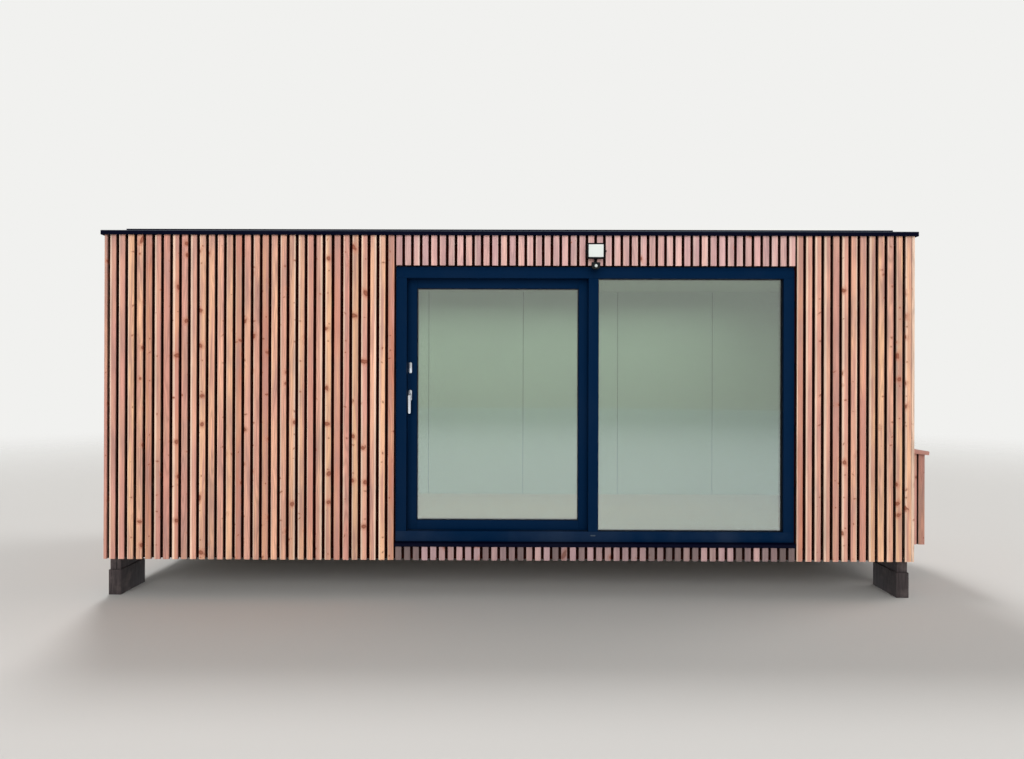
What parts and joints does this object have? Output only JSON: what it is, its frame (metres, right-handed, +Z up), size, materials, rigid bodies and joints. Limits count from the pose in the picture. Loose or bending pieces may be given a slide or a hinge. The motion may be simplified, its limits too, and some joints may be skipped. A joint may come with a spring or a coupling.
{
  "type": "shipping container cabin",
  "caption": "Raised container cabin with a steel frame, upright timber slat cladding, a wide sliding glass door, a floodlight and a slatted utility box.",
  "frame": {"origin": "middle of the whole outline, on the ground under the support blocks", "axes": "+X along the cabin to the right as seen from the door side, +Y from the door side to the back, +Z up"},
  "size_m": [6.534, 2.614, 2.775],
  "materials": {
    "weathered_timber": "weathered, rough sawn",
    "packer_timber": "rough sawn",
    "frame_steel": "satin paint",
    "deck_plywood": "sanded",
    "floor_boards": "matt lacquer",
    "wall_panel": "coated sandwich panel",
    "roof_metal": "satin powder coat",
    "black_membrane": "matt",
    "stained_batten": "stained",
    "larch_slat": "planed, oiled",
    "anthracite_frame": "fine textured powder coat",
    "door_glass": "clear double glazing",
    "rubber_gasket": "matt",
    "bright_aluminium": "satin anodised",
    "lamp_housing": "satin paint",
    "lamp_diffuser": "frosted",
    "sensor_plastic": "moulded"
  },
  "bodies": {
    "cabin": {"support_blocks": "weathered_timber", "timber_packers": "packer_timber", "corner_posts": "frame_steel", "base_rails": "frame_steel", "cross_members": "frame_steel", "roof_rails": "frame_steel", "floor_panel": "deck_plywood", "floor_covering": "floor_boards", "roof_panel": "wall_panel", "roof_sheet": "roof_metal", "roof_kerb": "roof_metal", "roof_trim": "roof_metal", "front_wall_left": "wall_panel", "front_wall_right": "wall_panel", "front_wall_header": "wall_panel", "back_wall": "wall_panel", "left_wall": "wall_panel", "right_wall": "wall_panel", "wall_membrane": "black_membrane", "battens": "stained_batten", "slats_front_left": "larch_slat", "slats_front_right": "larch_slat", "slats_over_door": "larch_slat", "slats_under_door": "larch_slat", "slats_back": "larch_slat", "slats_left": "larch_slat", "slats_right": "larch_slat", "door_jambs": "anthracite_frame", "door_head": "anthracite_frame", "door_threshold": "anthracite_frame", "door_mullion": "anthracite_frame", "glazing_beads": "anthracite_frame", "glass_gaskets": "rubber_gasket", "fixed_glass": "door_glass", "sill_flashing": "anthracite_frame", "floodlight_bracket": "lamp_housing", "utility_posts": "stained_batten", "utility_rails": "stained_batten", "utility_slats_front": "larch_slat", "utility_slats_side": "larch_slat", "utility_slats_back": "larch_slat", "utility_lid": "larch_slat"},
    "door_sash": {"sash_stiles": "anthracite_frame", "sash_rails": "anthracite_frame", "sash_glass": "door_glass", "sash_gaskets": "rubber_gasket", "lock_plates": "bright_aluminium", "handle_rosettes": "bright_aluminium"},
    "door_lever": {"door_handle": "bright_aluminium"},
    "floodlight": {"floodlight_body": "lamp_housing", "floodlight_panel": "lamp_diffuser"},
    "motion_sensor": {"sensor_housing": "sensor_plastic", "sensor_lens": "lamp_diffuser"}
  },
  "joints": [
    {"name": "door_slide", "type": "slide", "parent": "cabin", "child": "door_sash", "axis": [1, 0, 0], "range_m": [0, 1.3]},
    {"name": "handle_turn", "type": "hinge", "parent": "door_sash", "child": "door_lever", "pos_m": [-0.958, -1.076, 1.515], "axis": [0, -1, 0], "range_deg": [0, 180]},
    {"name": "floodlight_tilt", "type": "hinge", "parent": "cabin", "child": "floodlight", "pos_m": [0.438, -1.273, 2.591], "axis": [1, 0, 0], "range_deg": [-25, 25]},
    {"name": "sensor_pan", "type": "hinge", "parent": "cabin", "child": "motion_sensor", "pos_m": [0.438, -1.273, 2.481], "axis": [0, 0, 1], "range_deg": [-60, 60]}
  ]
}
